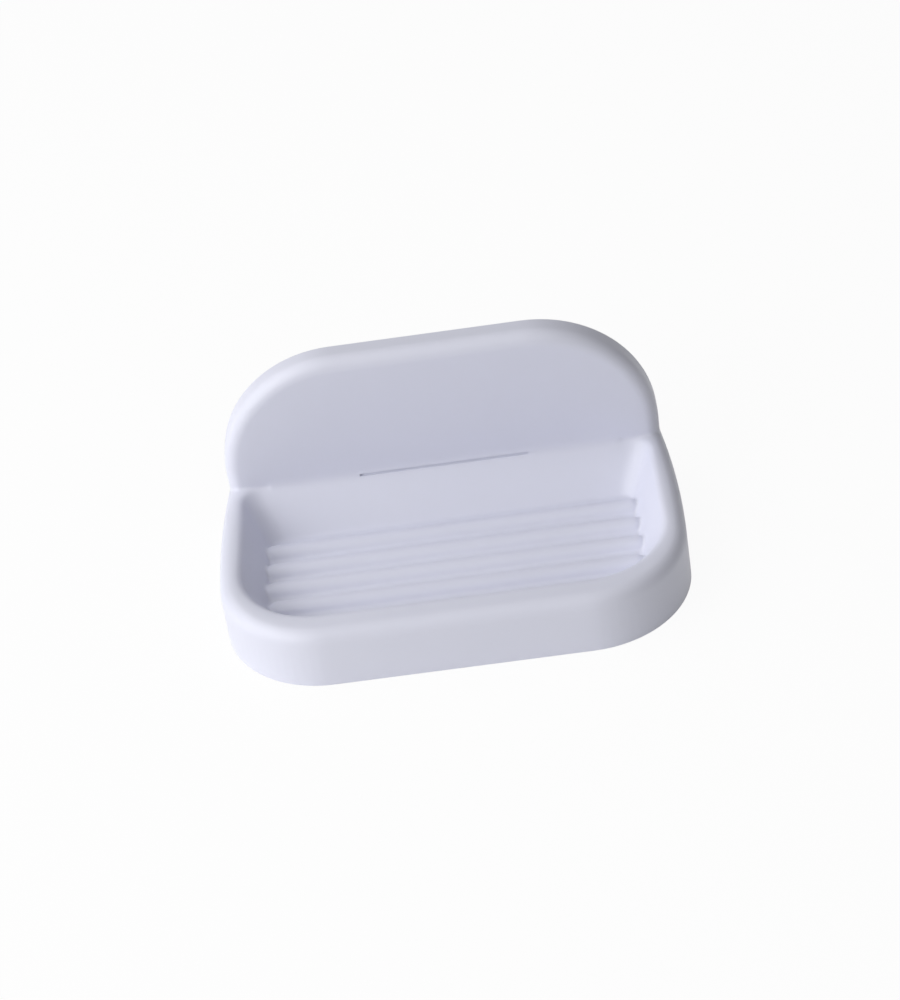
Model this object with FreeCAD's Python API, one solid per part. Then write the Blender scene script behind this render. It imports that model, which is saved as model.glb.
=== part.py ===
import FreeCAD, Part
import os
from math import hypot, sqrt

from FreeCAD import Vector

# A wall-hung soap dish. The wall is the plane Y = 0, the dish stands out towards -Y, and Z is up.
# The origin lies on the wall, midway between the two fixing screws. Lengths are in millimetres.

# Outside of the dish
dish_width = 150.0
dish_depth = 89.0
dish_height = 66.0
side_bow = 2.6
widest_from_wall = 40.0
front_corner_radius = 34.0
rim_height = 20.2
rim_outer_radius = 4.5
skirt_flare = 0.4
screws_below_top = 26.0

# Splash plate
plate_depth = 9.0
plate_corner_radius = 41.0
plate_edge_radius = 4.5
wall_thickness = 2.6
slit_length = 56.5
slit_width = 0.6
slit_depth = 1.2

# Soap pocket: its mouth at the rim, its sloped walls and its floor
rim_land = 0.6
front_rim_extra = 3.0
mouth_rear_corner_share = 0.09
mouth_front_corner_share = 0.38
mouth_edge_radius = 3.0
edge_reach_share = 0.64
floor_height = 6.5
back_wall_run = 12.5
side_wall_run = 7.5
front_wall_run = 9.5
floor_rear_corner_share = 0.11
floor_front_corner_share = 0.36
floor_edge_radius = 1.8
hollow_below_rim = 5.0

# Ribs on the pocket's floor, spread evenly from wall to wall; their places and section are shares of their pitch
rib_count = 4
rib_rear_share = 0.73
rib_front_share = 1.2
rib_end_inset = 1.5
rib_root = 0.5
rib_radius_share = 0.36
rib_rise_share = 0.29

# Wall bracket, a dovetail that widens away from the wall
bracket_width = 54.0
bracket_height = 28.0
bracket_front_gap = 1.0
bracket_foot_depth = 1.5
dovetail_undercut = 3.0
bracket_lead_in = 4.0

# Dovetail rails and stop inside the splash plate
rail_thickness = 3.2
rail_wall_gap = 0.6
slide_clearance = 0.3
stop_thickness = 3.0
stop_clearance = 0.15

# Screws and wall plugs
screw_spacing = 32.0
screw_radius = 1.9
screw_head_radius = 3.8
screw_length = 30.0
screw_tip_length = 4.0
screw_tip_radius = 0.4
screw_hole_clearance = 0.3
head_clearance = 0.05
cross_recess_length = 4.4
cross_recess_width = 0.9
cross_recess_depth = 1.5
screw_bite = 0.1
plug_radius = 3.0
plug_length = 30.0
plug_neck_length = 9.0
plug_nose_length = 4.5
plug_groove_count = 5
plug_groove_share = 0.3
plug_groove_width = 1.2
plug_slot_width = 0.7
plug_tip_length = 1.2
plug_tip_share = 0.6
plug_wall_gap = 0.2
plug_recess_depth = 0.8
plug_recess_clearance = 0.4

# Every cutting tool runs past the surface that it opens by this much
overrun = 1.0
# Places closer than this count as one
same_place = 0.001

# Places and sizes that follow from the ones above
top_z = screws_below_top
base_z = top_z - dish_height
rim_z = base_z + rim_height
floor_z = base_z + floor_height
half_width = dish_width / 2
half_width_at_wall = half_width - side_bow
plate_back_y = wall_thickness - plate_depth
mouth_half_width = half_width - rim_outer_radius - rim_land - mouth_edge_radius * edge_reach_share
mouth_front = dish_depth - (half_width - mouth_half_width) - front_rim_extra
floor_half_width = mouth_half_width - side_wall_run
floor_rear = plate_depth + back_wall_run
floor_front = mouth_front - front_wall_run
rib_pitch = (floor_front - floor_rear) / (rib_rear_share + rib_count - 1 + rib_front_share)
rib_radius = rib_pitch * rib_radius_share
rib_rise = rib_pitch * rib_rise_share
floor_corner_radius = (floor_front - floor_rear) * floor_front_corner_share
bracket_depth = -plate_back_y - bracket_front_gap
screw_places = [-screw_spacing / 2, screw_spacing / 2]
plug_bore_radius = screw_radius - screw_bite
plug_wall = plug_radius - plug_bore_radius


def line(start, end):
    return Part.makeLine(start, end)


def arc_about(centre, radius, start, end):
    """Shorter arc about a centre from start to end."""
    middle = (start + end) * 0.5 - centre
    return Part.Arc(start, centre + middle * (radius / middle.Length), end).toShape()


def mirrored_loop(right_half):
    """Closed wire from the right half's edges and their mirror image in X = 0."""
    left_half = [edge.mirror(Vector(0, 0, 0), Vector(1, 0, 0)) for edge in right_half]
    return Part.Wire(Part.__sortEdges__(right_half + left_half))


def tray_loop(inset, z):
    """Plan of the tray at height z, inset from its outside: a bowed side and a round front corner."""
    side_radius = (side_bow ** 2 + widest_from_wall ** 2) / (2 * side_bow)
    side_centre = Vector(half_width - side_radius, -widest_from_wall, z)
    corner_y = front_corner_radius - dish_depth
    reach = side_radius - front_corner_radius
    corner_x = side_centre.x + sqrt(reach ** 2 - (corner_y + widest_from_wall) ** 2)
    corner_centre = Vector(corner_x, corner_y, z)
    side_r = side_radius - inset
    corner_r = front_corner_radius - inset
    outwards = (corner_centre - side_centre).normalize()
    wall_point = Vector(side_centre.x + sqrt(side_r ** 2 - widest_from_wall ** 2), 0, z)
    tangent_point = corner_centre + outwards * corner_r
    front_point = corner_centre - Vector(0, corner_r, 0)
    half = [
        line(Vector(0, 0, z), wall_point),
        arc_about(side_centre, side_r, wall_point, tangent_point),
        arc_about(corner_centre, corner_r, tangent_point, front_point),
        line(front_point, Vector(0, front_point.y, z)),
    ]
    return mirrored_loop(half)


def pocket_loop(rear, side, front, corner_shares, grown, z):
    """Plan of the soap pocket at height z, between Y = -rear and Y = -front, X = -side and X = side.

    The corners' radii are shares of the pocket's depth, and the whole plan is grown outwards."""
    rear_radius, front_radius = [share * (front - rear) + grown for share in corner_shares]
    rear, side, front = rear - grown, side + grown, front + grown
    rear_centre = Vector(side - rear_radius, -rear - rear_radius, z)
    front_centre = Vector(side - front_radius, front_radius - front, z)
    half = [
        line(Vector(0, -rear, z), rear_centre + Vector(0, rear_radius, 0)),
        arc_about(rear_centre, rear_radius, rear_centre + Vector(0, rear_radius, 0),
                  rear_centre + Vector(rear_radius, 0, 0)),
        line(rear_centre + Vector(rear_radius, 0, 0), front_centre + Vector(front_radius, 0, 0)),
        arc_about(front_centre, front_radius, front_centre + Vector(front_radius, 0, 0),
                  front_centre - Vector(0, front_radius, 0)),
        line(front_centre - Vector(0, front_radius, 0), Vector(0, -front, z)),
    ]
    return mirrored_loop(half)


def plate_block(inset, front_y, back_y, bottom_z, edge_radius):
    """Splash plate's outline, inset all round and as deep as front_y to back_y, its front edge rounded."""
    side = half_width_at_wall - inset
    corner = plate_corner_radius - inset
    top = top_z - inset
    centre = Vector(side - corner, front_y, top - corner)
    side_point = centre + Vector(corner, 0, 0)
    top_point = centre + Vector(0, 0, corner)
    half = [
        line(Vector(0, front_y, bottom_z), Vector(side, front_y, bottom_z)),
        line(Vector(side, front_y, bottom_z), side_point),
        arc_about(centre, corner, side_point, top_point),
        line(top_point, Vector(0, front_y, top)),
    ]
    block = Part.Face(mirrored_loop(half)).extrude(Vector(0, back_y - front_y, 0)).removeSplitter()
    rounded = [edge for edge in block.Edges if is_at(edge.BoundBox.YMin, edge.BoundBox.YMax, front_y)
               and not is_at(edge.BoundBox.ZMin, edge.BoundBox.ZMax, bottom_z)]
    return block.makeFillet(edge_radius, rounded)


def is_at(low, high, place):
    """Whether a span of an edge or face lies wholly at one place."""
    return max(abs(low - place), abs(high - place)) < same_place


def level_edges(shape, z):
    """Edges of a shape that lie wholly at height z."""
    return [edge for edge in shape.Edges if is_at(edge.BoundBox.ZMin, edge.BoundBox.ZMax, z)]


def inner_edges(shape, z):
    """Edges round the holes and islands in a shape's largest flat face at height z."""
    flats = [face for face in shape.Faces if is_at(face.BoundBox.ZMin, face.BoundBox.ZMax, z)]
    face = max(flats, key=lambda flat: flat.Area)
    return [edge for wire in face.Wires if not wire.isSame(face.OuterWire) for edge in wire.Edges]


def tray_block():
    """Solid tray: flared skirt with the rim's outer edge rounded."""
    block = Part.makeLoft([tray_loop(-skirt_flare, base_z), tray_loop(0, rim_z)], True, True)
    block = block.removeSplitter()
    rounded = [edge for edge in level_edges(block, rim_z) if edge.BoundBox.YMin < -plate_depth]
    return block.makeFillet(rim_outer_radius, rounded)


def pocket_tool(grown):
    """Soap pocket's space, or that space grown by a wall on every side but its mouth."""
    mouth_corners = [mouth_rear_corner_share, mouth_front_corner_share]
    floor_corners = [floor_rear_corner_share, floor_front_corner_share]
    mouth = pocket_loop(plate_depth, mouth_half_width, mouth_front, mouth_corners, grown, rim_z)
    floor = pocket_loop(floor_rear, floor_half_width, floor_front, floor_corners, grown, floor_z - grown)
    block = Part.makeLoft([floor, mouth], True, True).removeSplitter()
    return block.makeFillet(floor_edge_radius + grown, level_edges(block, floor_z - grown))


def rib_half_run(y):
    """Distance from the middle to the start of a rib's domed ends, which sink into the pocket's side walls."""
    past_corner = max(floor_corner_radius - floor_front - y, 0)
    reach = sqrt((floor_corner_radius - rib_end_inset) ** 2 - past_corner ** 2)
    return floor_half_width - floor_corner_radius + reach


def rib(y):
    """One rib: a round bar with domed ends, sunk in the pocket's floor."""
    axis_z = floor_z + rib_rise - rib_radius
    half_run = rib_half_run(y)
    half_length = half_run + rib_radius
    bar = Part.makeCylinder(rib_radius, 2 * half_run, Vector(-half_run, y, axis_z), Vector(1, 0, 0))
    ends = [Part.makeSphere(rib_radius, Vector(side * half_run, y, axis_z)) for side in (-1, 1)]
    above_floor = Part.makeBox(2 * half_length, 2 * rib_radius, rib_rise + rib_root,
                               Vector(-half_length, y - rib_radius, floor_z - rib_root))
    return bar.multiFuse(ends).removeSplitter().common(above_floor)


def with_ribs(tray):
    """Tray with its ribs."""
    places = [-floor_rear - (rib_rear_share + number) * rib_pitch for number in range(rib_count)]
    return tray.multiFuse([rib(y) for y in places]).removeSplitter()


def hollow_tool():
    """Space inside the moulding: under the tray and behind the splash plate."""
    hollow_top = rim_z - hollow_below_rim
    under = Part.makeLoft([tray_loop(wall_thickness - skirt_flare, base_z - overrun),
                           tray_loop(wall_thickness, hollow_top)], True, True)
    under = under.cut(pocket_tool(wall_thickness))
    behind = plate_block(wall_thickness, plate_back_y, overrun, base_z - overrun,
                         plate_edge_radius - wall_thickness)
    return under.fuse(behind)


def flank_x(y, clearance):
    """Half width of the dovetail at depth y, with a clearance square to its flank."""
    run = bracket_depth - bracket_foot_depth
    slope = dovetail_undercut / run
    out = max(-y - bracket_foot_depth, 0)
    return bracket_width / 2 - dovetail_undercut + slope * out + clearance * hypot(1, slope)


def dovetail_rail(side):
    """Rail that hooks behind one flank of the bracket."""
    front_y = plate_back_y - overrun
    outer_x = flank_x(plate_back_y, slide_clearance) + rail_thickness
    corners = [
        (outer_x, front_y),
        (flank_x(front_y, slide_clearance), front_y),
        (flank_x(-bracket_foot_depth, slide_clearance), -bracket_foot_depth),
        (flank_x(-rail_wall_gap, slide_clearance), -rail_wall_gap),
        (outer_x, -rail_wall_gap),
    ]
    points = [Vector(side * x, y, -bracket_height / 2) for x, y in corners]
    rise = bracket_height + stop_clearance + stop_thickness
    return Part.Face(Part.makePolygon(points + points[:1])).extrude(Vector(0, 0, rise))


def lift_stop():
    """Bar between the rails that rests on the bracket's top."""
    half = flank_x(plate_back_y, slide_clearance) + rail_thickness
    corner = Vector(-half, plate_back_y - overrun, bracket_height / 2 + stop_clearance)
    return Part.makeBox(2 * half, overrun - plate_back_y - rail_wall_gap, stop_thickness, corner)


def slit_tool():
    """Fine groove along the foot of the splash plate's face."""
    corner = Vector(-slit_length / 2, -plate_depth - overrun, rim_z - slit_width)
    return Part.makeBox(slit_length, slit_depth + overrun, slit_width, corner)


def dish_body():
    pocket = pocket_tool(0)
    tray = tray_block().cut(pocket)
    tray = tray.makeFillet(mouth_edge_radius, inner_edges(tray, rim_z))
    tray = with_ribs(tray)
    plate = plate_block(0, -plate_depth, 0, base_z, plate_edge_radius)
    body = tray.fuse(plate.cut(pocket)).cut(hollow_tool())
    body = body.cut(slit_tool())
    return body.multiFuse([dovetail_rail(-1), dovetail_rail(1), lift_stop()]).removeSplitter()


def turned(profile, start, direction):
    """Solid of revolution from (radius, distance) pairs along a direction from start."""
    points = [Vector(radius, 0, distance) for radius, distance in profile]
    face = Part.Face(Part.makePolygon(points + points[:1]))
    solid = face.revolve(Vector(0, 0, 0), Vector(0, 0, 1), 360)
    solid.Placement = FreeCAD.Placement(start, FreeCAD.Rotation(Vector(0, 0, 1), direction))
    return solid


def screw_hole_tool(x):
    """Countersunk hole through the bracket, with a recess at its back that clears the wall plug's mouth."""
    head = screw_head_radius + head_clearance
    shank = screw_radius + screw_hole_clearance
    recess = plug_radius + plug_recess_clearance
    recess_start = bracket_depth - plug_recess_depth
    through = bracket_depth + overrun
    profile = [(0, 0), (head, 0), (shank, head - shank), (shank, recess_start), (recess, recess_start),
               (recess, through), (0, through)]
    return turned(profile, Vector(x, -bracket_depth, 0), Vector(0, 1, 0))


def wall_bracket():
    """Dovetail block with two countersunk holes and a lead-in on its top corners."""
    corners = [(flank_x(0, 0), 0), (flank_x(0, 0), -bracket_foot_depth), (bracket_width / 2, -bracket_depth)]
    left = [(-x, y) for x, y in reversed(corners)]
    points = [Vector(x, y, -bracket_height / 2) for x, y in corners + left]
    block = Part.Face(Part.makePolygon(points + points[:1])).extrude(Vector(0, 0, bracket_height))
    for side in (-1, 1):
        tip = Vector(side * (bracket_width / 2 + overrun), overrun, bracket_height / 2 + overrun)
        leg = bracket_lead_in + 2 * overrun
        wedge = Part.makePolygon([tip, tip - Vector(side * leg, 0, 0), tip - Vector(0, 0, leg), tip])
        block = block.cut(Part.Face(wedge).extrude(Vector(0, -bracket_depth - 2 * overrun, 0)))
    return block.cut([screw_hole_tool(x) for x in screw_places])


def bracket_screw(x):
    """Countersunk screw with a cross recess and a pointed end."""
    sink = screw_head_radius - screw_radius
    shank_end = screw_length - screw_tip_length
    profile = [(0, 0), (screw_head_radius, 0), (screw_radius, sink), (screw_radius, shank_end),
               (screw_tip_radius, screw_length), (0, screw_length)]
    screw = turned(profile, Vector(x, -bracket_depth, 0), Vector(0, 1, 0))
    for across in ((cross_recess_length, cross_recess_width), (cross_recess_width, cross_recess_length)):
        corner = Vector(x - across[0] / 2, -bracket_depth - overrun, -across[1] / 2)
        screw = screw.cut(Part.makeBox(across[0], cross_recess_depth + overrun, across[1], corner))
    return screw


def wall_plug(x):
    """Nylon plug: a plain neck, a grooved and slotted middle that can spread, and a closed nose."""
    nose_start = plug_length - plug_nose_length
    step = (nose_start - plug_neck_length) / plug_groove_count
    outline = [(plug_bore_radius, 0), (plug_radius, 0)]
    for number in range(plug_groove_count):
        start = plug_neck_length + number * step
        outline += [(plug_radius, start),
                    (plug_radius - plug_wall * plug_groove_share, start + plug_groove_width / 2),
                    (plug_radius, start + plug_groove_width)]
    outline += [(plug_radius, plug_length - plug_tip_length),
                (plug_radius - plug_wall * plug_tip_share, plug_length), (0, plug_length), (0, nose_start),
                (plug_bore_radius, nose_start)]
    plug = turned(outline, Vector(x, plug_wall_gap, 0), Vector(0, 1, 0))
    slot_corner = Vector(x - plug_radius - overrun, plug_wall_gap + plug_neck_length, -plug_slot_width / 2)
    slot_length = nose_start - plug_neck_length
    return plug.cut(Part.makeBox(2 * (plug_radius + overrun), slot_length, plug_slot_width, slot_corner))


def save(name, shape):
    shape.exportStep(os.path.join("parts", name + ".step"))


os.makedirs("parts", exist_ok=True)
save("dish_body", dish_body())
save("wall_bracket", wall_bracket())
save("bracket_screws", Part.makeCompound([bracket_screw(x) for x in screw_places]))
save("wall_plugs", Part.makeCompound([wall_plug(x) for x in screw_places]))
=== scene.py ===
from math import cos, radians, sin

import bmesh
import bpy
from mathutils import Matrix, Vector


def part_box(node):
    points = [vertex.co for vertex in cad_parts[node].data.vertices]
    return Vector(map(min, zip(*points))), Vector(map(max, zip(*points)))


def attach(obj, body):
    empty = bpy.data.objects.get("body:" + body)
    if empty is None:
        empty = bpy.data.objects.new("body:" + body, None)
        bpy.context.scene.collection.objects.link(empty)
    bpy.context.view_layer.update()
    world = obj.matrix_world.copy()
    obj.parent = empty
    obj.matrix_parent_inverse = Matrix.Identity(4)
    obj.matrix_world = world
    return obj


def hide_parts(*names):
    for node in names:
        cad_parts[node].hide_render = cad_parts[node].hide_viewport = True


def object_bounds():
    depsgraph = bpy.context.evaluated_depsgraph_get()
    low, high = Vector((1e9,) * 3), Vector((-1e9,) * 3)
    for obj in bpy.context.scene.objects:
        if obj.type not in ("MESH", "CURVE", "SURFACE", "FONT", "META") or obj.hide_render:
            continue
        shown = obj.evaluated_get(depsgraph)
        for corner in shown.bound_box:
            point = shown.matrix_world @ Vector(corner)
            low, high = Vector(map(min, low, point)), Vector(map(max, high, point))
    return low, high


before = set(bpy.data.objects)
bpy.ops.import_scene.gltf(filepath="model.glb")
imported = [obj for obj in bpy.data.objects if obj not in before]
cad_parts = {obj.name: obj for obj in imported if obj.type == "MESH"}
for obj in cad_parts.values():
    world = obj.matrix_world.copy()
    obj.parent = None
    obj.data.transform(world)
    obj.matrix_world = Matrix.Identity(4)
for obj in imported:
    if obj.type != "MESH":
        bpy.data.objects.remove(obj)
cad_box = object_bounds()

# Viewing angle of the photograph: degrees round and above the dish, turned about the line of sight
VIEW_AZIMUTH = 3.0
VIEW_ELEVATION = 37.1
VIEW_ROLL = -9.4
VIEW_DISTANCE = 0.787
VIEW_TARGET = Vector((0.0007, -0.0240, -0.0241))
LENS_MM = 86.4
SENSOR_MM = 36.0
NEAREST_SEEN = 0.01

# The moulding's skin: size of its even mesh, how far the mould's edges are eased, and share of faces kept
SKIN_VOXEL = 0.0005
EASING_ROUNDS = 4
EASING_FACTOR = 0.5
SKIN_KEPT_SHARE = 0.34
MERGE_DISTANCE = 1e-6
# The skin is made this much too long at its open foot and back, then cut off square there;
# corners this near the cut are drawn onto it
TRIM_LENGTH = 0.003
TRIM_SNAP = 0.0001
# Edges shorter than this are dissolved, and edges that turn by more degrees than this stay crisp
SLIVER_LENGTH = 0.00001
CRISP_ANGLE = 40.0

# The splash plate's foot, which runs out softly into the pocket's back wall on this length and reach
FOOT_LINE = Vector((0, -0.009, -0.0198))
FOOT_HALF_LENGTH = 0.059
FOOT_REACH = 0.0035
FOOT_ROUNDS = 50

# Fine groove along that foot, which easing would close; it slants down into the moulding
GROOVE_SIZE = Vector((0.0565, 0.00155, 0.0008))
GROOVE_CENTRE = Vector((0, -0.00954, -0.01989))
GROOVE_SLANT = -30.0

# Room: white paper under the dish; this share of what is seen of it is plain white, the rest takes the shadow
FLOOR_SIZE = 6.0
FLOOR_GAP = 0.0002
FLOOR_WHITE_SHARE = 0.94
SKY_STRENGTH = 0.18

# Square lamps aimed at the dish: where each one hangs, and its watts
LAMP_SIZE = 0.8
LAMPS = {
    "front_left_lamp": ((-0.85, -0.75, 0.42), 5.2),
    "left_lamp": ((-1.2, -0.1, 0.3), 2.2),
    "high_left_lamp": ((-0.8, -0.3, 0.85), 4.2),
    "back_left_lamp": ((-0.6, 0.5, 0.9), 2.5),
    "front_lamp": ((0.0, -0.8, 0.9), 1.3),
    "top_lamp": ((0.0, -0.1, 1.2), 0.9),
}


class Value:
    """An output socket; sums and products with it add Math nodes to its tree."""

    def __init__(self, tree, socket):
        self.tree = tree
        self.socket = socket

    def math(self, operation, first, second):
        return self.tree.node("ShaderNodeMath", {"operation": operation}, {0: first, 1: second})

    def __add__(self, other):
        return self.math("ADD", self, other)

    def __mul__(self, other):
        return self.math("MULTIPLY", self, other)

    __radd__ = __add__
    __rmul__ = __mul__


class Finish:
    """A material with an empty node tree."""

    def __init__(self, name):
        self.material = bpy.data.materials.new(name)
        self.material.use_nodes = True
        self.nodes = self.material.node_tree.nodes
        self.links = self.material.node_tree.links
        self.nodes.clear()

    def node(self, kind, settings=None, inputs=None, output=0):
        """Adds a node: its settings first, then the values or links of its sockets."""
        node = self.nodes.new(kind)
        for name, setting in (settings or {}).items():
            setattr(node, name, setting)
        for name, value in (inputs or {}).items():
            if isinstance(value, Value):
                self.links.new(value.socket, node.inputs[name])
            else:
                node.inputs[name].default_value = value
        return Value(self, node.outputs[output]) if len(node.outputs) else node

    def noise(self, scale, detail=2.0):
        place = self.node("ShaderNodeTexCoord", output="Object")
        sockets = {"Vector": place, "Scale": scale, "Detail": detail}
        return self.node("ShaderNodeTexNoise", {}, sockets, "Fac")

    def mix_colour(self, share, first, second):
        # A Mix node takes its two colours at sockets 6 and 7 and gives the mixed one at output 2
        return self.node("ShaderNodeMix", {"data_type": "RGBA"}, {"Factor": share, 6: first, 7: second}, 2)

    def bump(self, height, strength, distance):
        sockets = {"Height": height, "Strength": strength, "Distance": distance}
        return self.node("ShaderNodeBump", {}, sockets, "Normal")

    def surface(self, shader):
        self.node("ShaderNodeOutputMaterial", {}, {"Surface": shader})
        return self.material


def dish_plastic():
    """Satin white plastic with a faint mould grain."""
    finish = Finish("dish_plastic")
    cloud = finish.noise(scale=22.0, detail=3.0)
    grain = finish.noise(scale=2600.0)
    ripple = finish.noise(scale=160.0)
    colour = finish.mix_colour(cloud, (0.74, 0.75, 0.86, 1), (0.77, 0.78, 0.885, 1))
    normal = finish.bump(grain + 2.5 * ripple, strength=0.05, distance=0.0002)
    shader = finish.node("ShaderNodeBsdfPrincipled", {}, {
        "Base Color": colour, "Roughness": 0.36 + 0.08 * cloud + 0.04 * grain, "IOR": 1.5, "Normal": normal})
    return finish.surface(shader)


def bracket_plastic():
    """Matte off-white plastic, coarser than the dish."""
    finish = Finish("bracket_plastic")
    grain = finish.noise(scale=1500.0, detail=3.0)
    cloud = finish.noise(scale=40.0)
    colour = finish.mix_colour(cloud, (0.66, 0.66, 0.68, 1), (0.72, 0.72, 0.73, 1))
    normal = finish.bump(grain, strength=0.12, distance=0.0002)
    shader = finish.node("ShaderNodeBsdfPrincipled", {}, {
        "Base Color": colour, "Roughness": 0.5 + 0.12 * grain, "Normal": normal})
    return finish.surface(shader)


def screw_steel():
    """Zinc-plated steel, slightly mottled."""
    finish = Finish("screw_steel")
    mottle = finish.noise(scale=900.0, detail=4.0)
    colour = finish.mix_colour(mottle, (0.52, 0.52, 0.53, 1), (0.66, 0.65, 0.62, 1))
    normal = finish.bump(mottle, strength=0.1, distance=0.0001)
    shader = finish.node("ShaderNodeBsdfPrincipled", {}, {
        "Base Color": colour, "Metallic": 1.0, "Roughness": 0.25 + 0.2 * mottle, "Normal": normal})
    return finish.surface(shader)


def plug_nylon():
    """Grey nylon, a little waxy."""
    finish = Finish("plug_nylon")
    cloud = finish.noise(scale=300.0, detail=3.0)
    colour = finish.mix_colour(cloud, (0.33, 0.34, 0.36, 1), (0.4, 0.41, 0.43, 1))
    normal = finish.bump(cloud, strength=0.1, distance=0.0002)
    shader = finish.node("ShaderNodeBsdfPrincipled", {}, {
        "Base Color": colour, "Roughness": 0.42 + 0.12 * cloud, "Normal": normal})
    return finish.surface(shader)


def floor_paper():
    """White paper: white itself in the picture, with the object's shadow left on it."""
    finish = Finish("floor_paper")
    seen = finish.node("ShaderNodeLightPath", output="Is Camera Ray")
    mirrored = finish.node("ShaderNodeLightPath", output="Is Glossy Ray")
    through = finish.node("ShaderNodeLightPath", output="Is Transmission Ray")
    glow = finish.node("ShaderNodeEmission", {}, {"Strength": 1.0})
    paper = finish.node("ShaderNodeBsdfDiffuse", {}, {"Color": (0.9, 0.9, 0.9, 1)})
    white_share = FLOOR_WHITE_SHARE * (seen + mirrored + through)
    # A Mix Shader takes its two shaders at sockets 1 and 2
    shader = finish.node("ShaderNodeMixShader", {}, {"Fac": white_share, 1: paper, 2: glow})
    return finish.surface(shader)


def add_piece(name, data):
    """Puts a mesh, a lamp or a camera into the scene."""
    piece = bpy.data.objects.new(name, data)
    bpy.context.scene.collection.objects.link(piece)
    return piece


def open_ends():
    """Where the dish ends at its foot, along Z, and at its open back, along Y."""
    low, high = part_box("dish_body")
    return low.z, high.y


def overlong_dish():
    """The dish's solid with its loose triangles joined, run out past its foot and its open back."""
    foot, back = open_ends()
    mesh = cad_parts["dish_body"].data.copy()
    shape = bmesh.new()
    shape.from_mesh(mesh)
    bmesh.ops.remove_doubles(shape, verts=shape.verts, dist=MERGE_DISTANCE)
    for corner in shape.verts:
        if corner.co.z < foot + MERGE_DISTANCE:
            corner.co.z -= TRIM_LENGTH
        if corner.co.y > back - MERGE_DISTANCE:
            corner.co.y += TRIM_LENGTH
    shape.to_mesh(mesh)
    shape.free()
    return mesh


def trimmed(mesh):
    """Cuts the eased skin square at its foot and at its open back, and keeps its crisp edges so."""
    foot, back = open_ends()
    foot_cut = (Vector((0, 0, foot)), Vector((0, 0, -1)))
    back_cut = (Vector((0, back, 0)), Vector((0, 1, 0)))
    shape = bmesh.new()
    shape.from_mesh(mesh)
    for face in shape.faces:
        face.smooth = True
    for place, outwards in (foot_cut, back_cut):
        everything = shape.verts[:] + shape.edges[:] + shape.faces[:]
        cut = bmesh.ops.bisect_plane(shape, geom=everything, plane_co=place, plane_no=outwards,
                                     dist=TRIM_SNAP, use_snap_center=True, clear_outer=True)
        rims = [part for part in cut["geom_cut"] if isinstance(part, bmesh.types.BMEdge)]
        bmesh.ops.triangle_fill(shape, edges=rims, use_beauty=True, use_dissolve=False, normal=outwards)
    bmesh.ops.dissolve_degenerate(shape, dist=SLIVER_LENGTH, edges=shape.edges)
    shape.normal_update()
    for edge in shape.edges:
        edge.smooth = edge.calc_face_angle(0.0) < radians(CRISP_ANGLE)
    shape.to_mesh(mesh)
    shape.free()
    return mesh


def soft_foot(mesh):
    """Eases the front of the splash plate's foot far more than the other edges."""
    shape = bmesh.new()
    shape.from_mesh(mesh)
    shape.normal_update()
    strip = []
    for corner in shape.verts:
        beside = corner.co - FOOT_LINE
        faces_front = corner.normal.y < 0
        if faces_front and abs(beside.x) < FOOT_HALF_LENGTH and beside.yz.length < FOOT_REACH:
            strip.append(corner)
    for _ in range(FOOT_ROUNDS):
        bmesh.ops.smooth_vert(shape, verts=strip, factor=EASING_FACTOR, use_axis_x=True, use_axis_y=True,
                              use_axis_z=True)
    shape.to_mesh(mesh)
    shape.free()
    return mesh


def groove_block():
    """Block that cuts the fine groove at the foot of the splash plate."""
    mesh = bpy.data.meshes.new("groove_block")
    shape = bmesh.new()
    bmesh.ops.create_cube(shape, size=1.0)
    bmesh.ops.scale(shape, vec=GROOVE_SIZE, verts=shape.verts)
    bmesh.ops.rotate(shape, matrix=Matrix.Rotation(radians(GROOVE_SLANT), 3, "X"), verts=shape.verts)
    bmesh.ops.translate(shape, vec=GROOVE_CENTRE, verts=shape.verts)
    shape.to_mesh(mesh)
    shape.free()
    return add_piece("groove_block", mesh)


def finished_mesh(piece):
    """Mesh that a piece's modifiers make; the piece itself is taken away."""
    mesh = bpy.data.meshes.new_from_object(piece.evaluated_get(bpy.context.evaluated_depsgraph_get()))
    bpy.data.objects.remove(piece)
    return mesh


def dish_shell():
    """The dish's moulding: the solid's form with every edge eased as a mould leaves it."""
    rough = add_piece("dish_rough", overlong_dish())
    skin = rough.modifiers.new("even_skin", "REMESH")
    skin.mode = "VOXEL"
    skin.voxel_size = SKIN_VOXEL
    ease = rough.modifiers.new("eased_edges", "SMOOTH")
    ease.factor = EASING_FACTOR
    ease.iterations = EASING_ROUNDS
    eased = add_piece("dish_eased", soft_foot(finished_mesh(rough)))
    block = groove_block()
    cut = eased.modifiers.new("groove", "BOOLEAN")
    cut.operation = "DIFFERENCE"
    cut.object = block
    thin = eased.modifiers.new("fewer_faces", "DECIMATE")
    thin.ratio = SKIN_KEPT_SHARE
    mesh = trimmed(finished_mesh(eased))
    bpy.data.objects.remove(block)
    mesh.materials.clear()
    mesh.materials.append(dish_plastic())
    shell = add_piece("dish_shell", mesh)
    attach(shell, "dish")
    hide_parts("dish_body")


def dress_node(node, material):
    """Gives a CAD node a finer finish."""
    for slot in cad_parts[node].material_slots:
        slot.material = material


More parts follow.
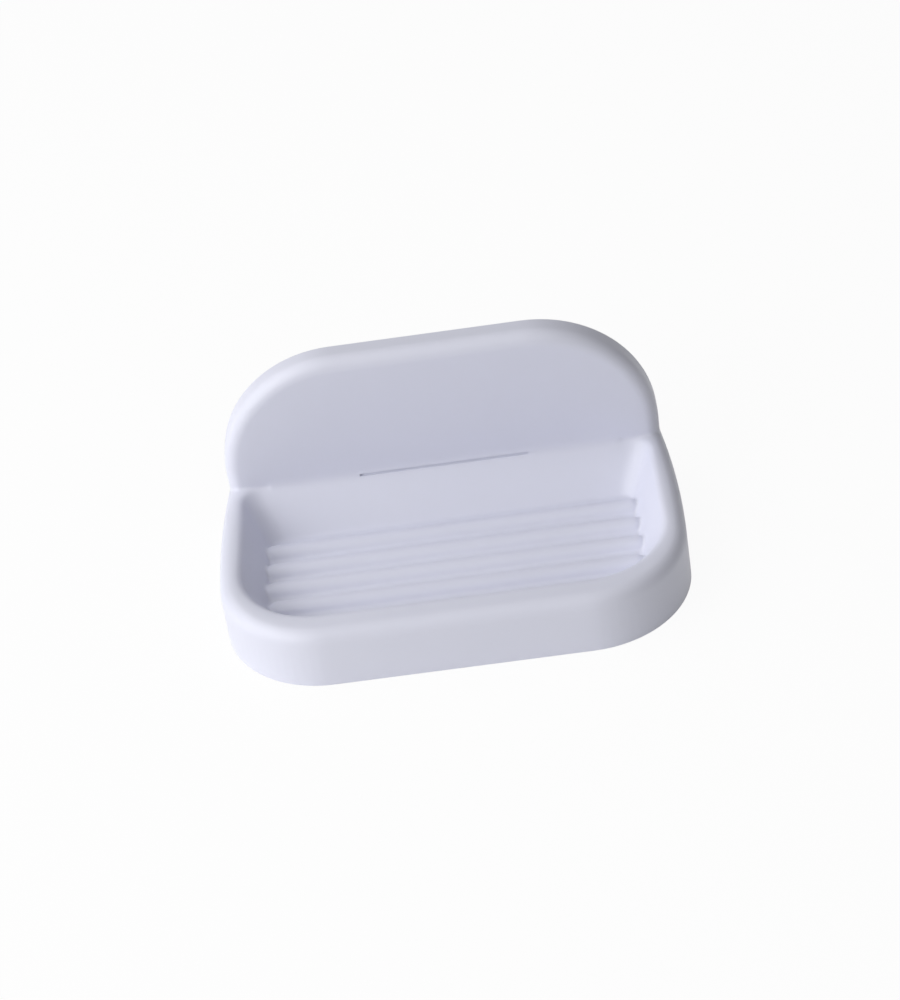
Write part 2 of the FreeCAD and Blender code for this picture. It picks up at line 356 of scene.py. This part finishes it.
def add_floor():
    """White paper just below the dish."""
    mesh = bpy.data.meshes.new("floor")
    shape = bmesh.new()
    bmesh.ops.create_grid(shape, size=FLOOR_SIZE / 2)
    bmesh.ops.translate(shape, verts=shape.verts, vec=(0, 0, cad_box[0].z - FLOOR_GAP))
    shape.to_mesh(mesh)
    shape.free()
    mesh.materials.append(floor_paper())
    add_piece("floor", mesh)


def add_lamp(name, place, watts):
    """Square lamp that is turned towards the dish."""
    lamp = bpy.data.lights.new(name, "AREA")
    lamp.size = LAMP_SIZE
    lamp.energy = watts
    light = add_piece(name, lamp)
    towards = VIEW_TARGET - Vector(place)
    light.rotation_euler = towards.to_track_quat("-Z", "Y").to_euler()
    light.location = place


def add_sky():
    """Even white light from all round."""
    world = bpy.data.worlds.new("studio")
    bpy.context.scene.world = world
    world.use_nodes = True
    background = world.node_tree.nodes["Background"]
    background.inputs["Color"].default_value = (1.0, 1.0, 1.0, 1)
    background.inputs["Strength"].default_value = SKY_STRENGTH


def add_camera():
    """Camera at the photograph's viewing angle, rolled about its line of sight."""
    azimuth, elevation, roll = [radians(angle) for angle in (VIEW_AZIMUTH, VIEW_ELEVATION, VIEW_ROLL)]
    back = Vector((sin(azimuth) * cos(elevation), -cos(azimuth) * cos(elevation), sin(elevation)))
    level = Vector((cos(azimuth), sin(azimuth), 0))
    upright = back.cross(level)
    right = cos(roll) * level + sin(roll) * upright
    up = cos(roll) * upright - sin(roll) * level
    lens = bpy.data.cameras.new("camera")
    lens.sensor_width = SENSOR_MM
    lens.lens = LENS_MM
    lens.clip_start = NEAREST_SEEN
    camera = add_piece("camera", lens)
    turn = Matrix((right, up, back)).transposed().to_4x4()
    camera.matrix_world = Matrix.Translation(VIEW_TARGET + back * VIEW_DISTANCE) @ turn
    bpy.context.scene.camera = camera


dish_shell()
dress_node("wall_bracket", bracket_plastic())
dress_node("bracket_screws", screw_steel())
dress_node("wall_plugs", plug_nylon())
add_floor()
add_sky()
for lamp_name, (lamp_place, lamp_watts) in LAMPS.items():
    add_lamp(lamp_name, lamp_place, lamp_watts)
add_camera()
bpy.context.scene.view_settings.view_transform = "Standard"
